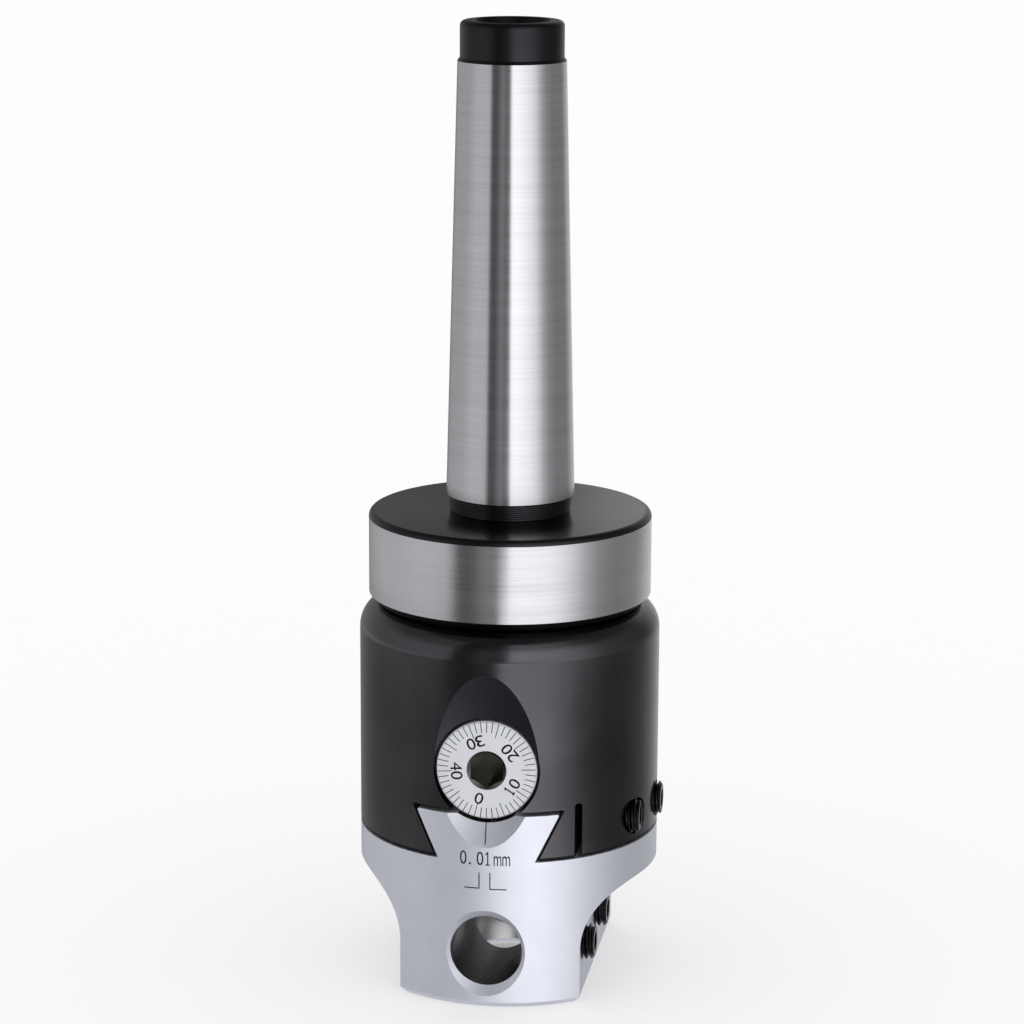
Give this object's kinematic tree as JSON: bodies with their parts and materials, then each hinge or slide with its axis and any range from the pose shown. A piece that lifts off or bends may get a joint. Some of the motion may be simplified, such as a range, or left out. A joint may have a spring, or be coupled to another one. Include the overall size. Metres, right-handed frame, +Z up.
{
  "type": "boring head",
  "caption": "Boring head on a tapered arbor: a dovetailed slide with crossed bar bores is set off centre by a graduated screw.",
  "frame": {"origin": "centre of the slide's flat bottom face, where the head's axis leaves the centre bar bore", "axes": "+Z up the shank to the drawbar end, -Y out of the dial's face, +X out of the clamping screws"},
  "size_m": [0.0428, 0.042, 0.1334],
  "materials": {
    "ground_steel": "ground bright, with blackened tip, neck and collar top",
    "black_oxide": "black oxide, satin",
    "satin_chrome": "satin chrome",
    "dial_chrome": "satin chrome with dark engraved graduations",
    "bronze": "turned bronze",
    "nut_steel": "turned steel, oiled",
    "screw_black": "black oxide"
  },
  "bodies": {
    "body": {"arbor": "ground_steel", "head_body": "black_oxide", "front_thrust_washer": "bronze", "rear_thrust_washer": "bronze"},
    "slide": {"bar_slide": "satin_chrome", "lead_nut": "bronze"},
    "dial": {"dial_screw": "dial_chrome", "take_up_nut": "nut_steel", "lock_nut": "nut_steel"},
    "gib_screw_front": {"gib_screw_front": "screw_black"},
    "gib_screw_middle": {"gib_screw_middle": "screw_black"},
    "gib_screw_rear": {"gib_screw_rear": "screw_black"},
    "bar_screw_front": {"bar_screw_front": "screw_black"},
    "bar_screw_centre": {"bar_screw_centre": "screw_black"}
  },
  "joints": [
    {"name": "dial_turn", "type": "hinge", "parent": "body", "child": "dial", "pos_m": [0, -0.0199, 0.0338], "axis": [0, 1, 0], "range_deg": [-648, 8352]},
    {"name": "slide_travel", "type": "slide", "parent": "body", "child": "slide", "axis": [0, -1, 0], "range_m": [-0.0009, 0.0116]},
    {"name": "gib_screw_front_travel", "type": "slide", "parent": "body", "child": "gib_screw_front", "axis": [1, 0, 0], "range_m": [0, 0.0016]},
    {"name": "gib_screw_middle_travel", "type": "slide", "parent": "body", "child": "gib_screw_middle", "axis": [1, 0, 0], "range_m": [0, 0.0016]},
    {"name": "gib_screw_rear_travel", "type": "slide", "parent": "body", "child": "gib_screw_rear", "axis": [1, 0, 0], "range_m": [0, 0.0016]},
    {"name": "bar_screw_front_travel", "type": "slide", "parent": "slide", "child": "bar_screw_front", "axis": [-1, 0, 0], "range_m": [-0.003, 0.0018]},
    {"name": "bar_screw_centre_travel", "type": "slide", "parent": "slide", "child": "bar_screw_centre", "axis": [-1, 0, 0], "range_m": [-0.003, 0.0018]}
  ],
  "couplings": [
    {"joint": "dial_turn", "follows": "slide_travel", "rad_per_m": 12566}
  ]
}
